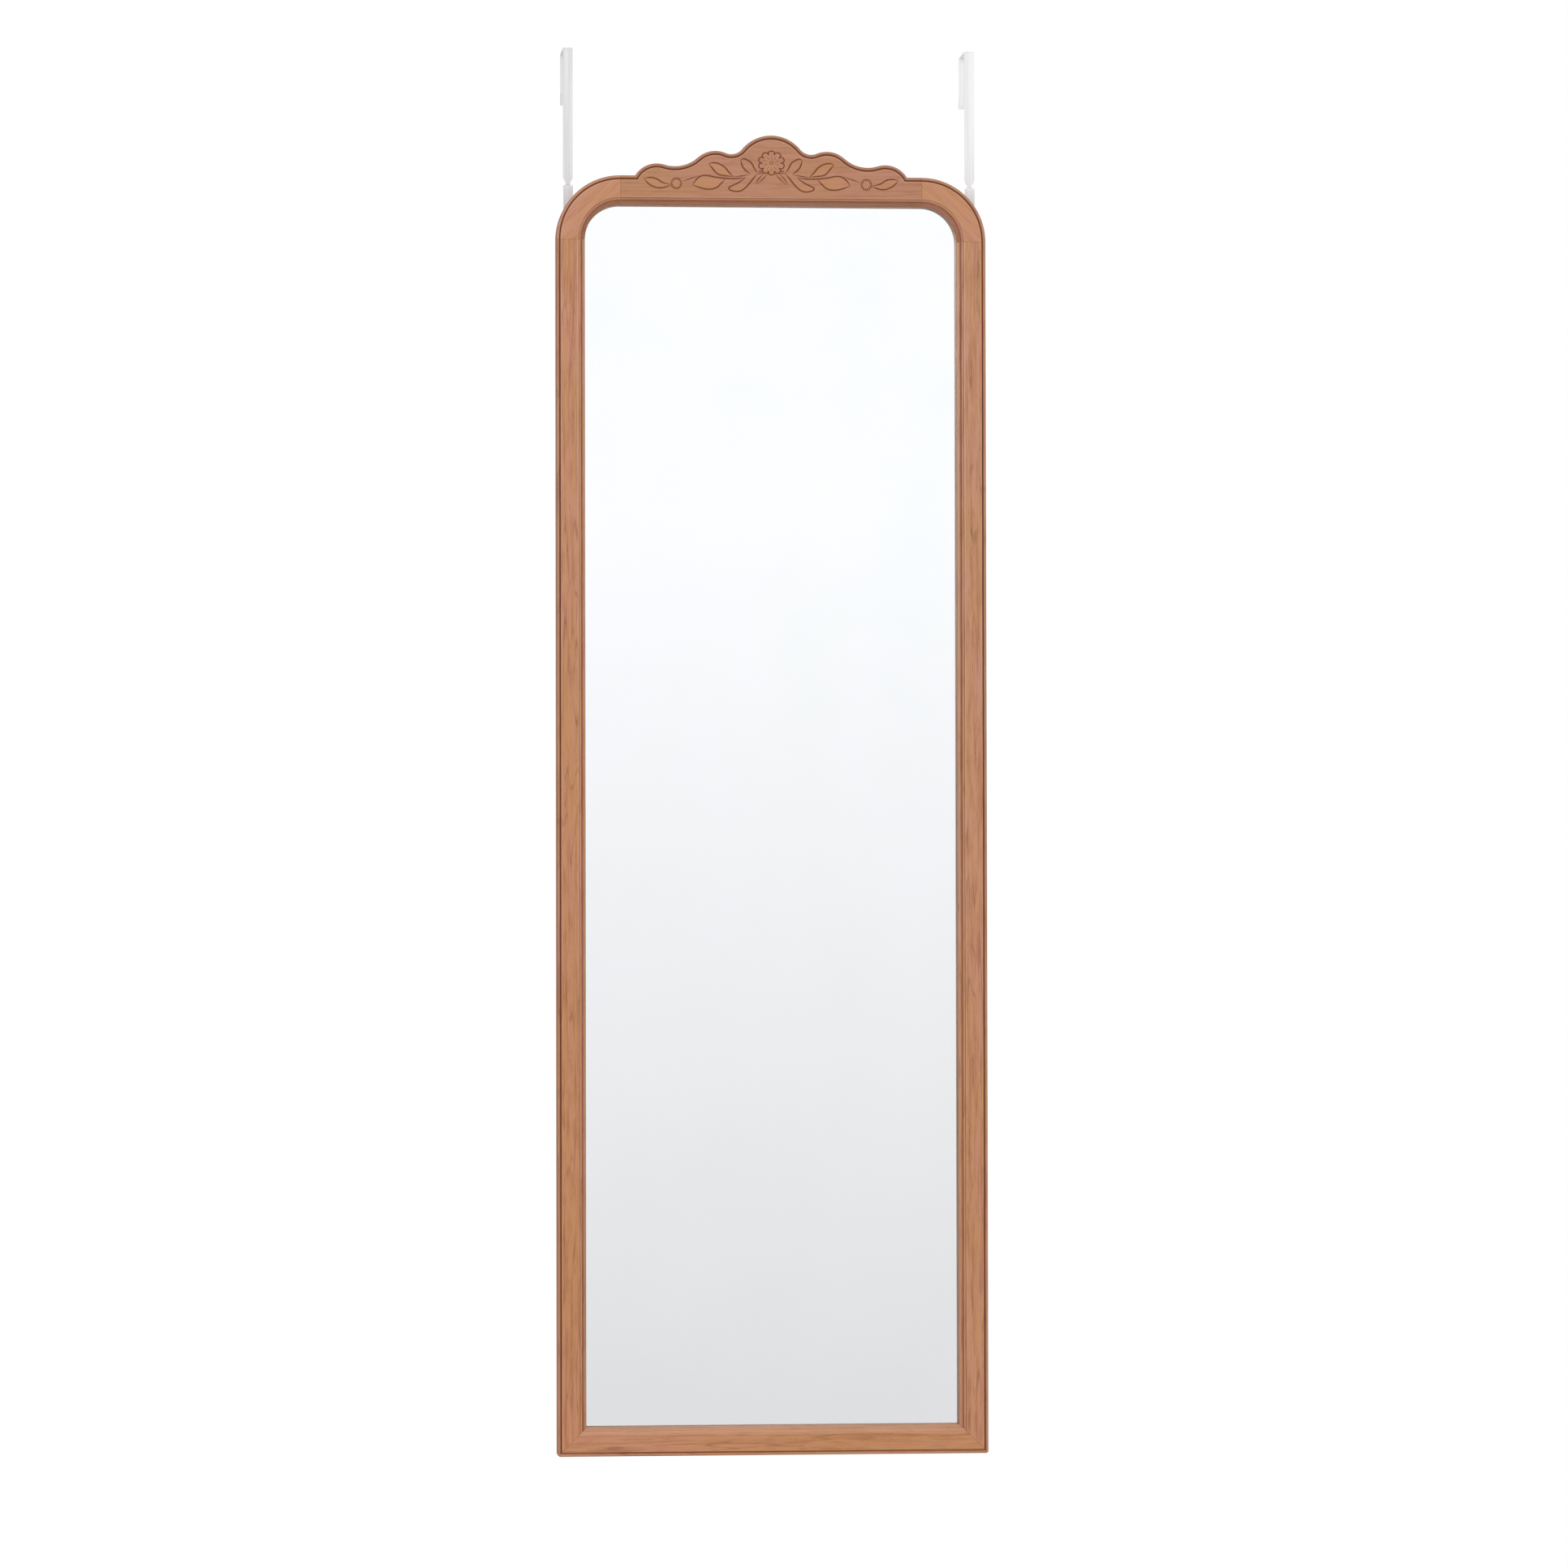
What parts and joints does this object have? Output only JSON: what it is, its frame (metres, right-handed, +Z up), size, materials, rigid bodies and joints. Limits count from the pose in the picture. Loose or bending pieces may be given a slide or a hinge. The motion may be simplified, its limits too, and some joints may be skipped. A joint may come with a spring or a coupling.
{
  "type": "over-the-door mirror",
  "caption": "Full-length mirror in a stained wood frame with a carved scalloped crest, hung over a door on two white steel strap hooks.",
  "frame": {"origin": "middle of the frame's bottom edge, in the plane of the frame's back", "axes": "+X to the viewer's right, +Y from the frame towards the door, +Z up"},
  "size_m": [0.423, 0.0775, 1.3814],
  "materials": {
    "stained_wood": "brown stained and satin lacquered",
    "dowel_wood": "bare beech",
    "mirror": "silvered float glass",
    "foam": "thin white foam",
    "fibreboard": "bare hardboard",
    "white_steel": "white powder coat",
    "zinc_steel": "zinc plated",
    "rubber": "matt"
  },
  "bodies": {
    "hook_left": {"door_hook_left": "white_steel"},
    "mirror": {"top_rail": "stained_wood", "corner_left": "stained_wood", "corner_right": "stained_wood", "stile_left": "stained_wood", "stile_right": "stained_wood", "bottom_rail": "stained_wood", "top_dowels_left": "dowel_wood", "top_dowels_right": "dowel_wood", "side_dowels_left": "dowel_wood", "side_dowels_right": "dowel_wood", "mitre_nails_left": "zinc_steel", "mitre_nails_right": "zinc_steel", "mirror_glass": "mirror", "foam_sheet": "foam", "backing_board": "fibreboard", "retaining_points": "zinc_steel", "hanger_plate_left": "white_steel", "hanger_plate_right": "white_steel", "hanger_screws_left": "zinc_steel", "hanger_screws_right": "zinc_steel", "bumper_left": "rubber", "bumper_right": "rubber"},
    "hook_right": {"door_hook_right": "white_steel"}
  },
  "joints": [
    {"name": "mirror_swing", "type": "hinge", "parent": "hook_left", "child": "mirror", "pos_m": [-0.1986, 0.0041, 1.2439], "axis": [-1, 0, 0], "range_deg": [0, 5.5]},
    {"name": "hook_right_swing", "type": "hinge", "parent": "mirror", "child": "hook_right", "pos_m": [0.1986, 0.0041, 1.2439], "axis": [-1, 0, 0], "range_deg": [-5.5, 0]}
  ],
  "couplings": [
    {"joint": "hook_right_swing", "follows": "mirror_swing", "ratio": -1}
  ]
}
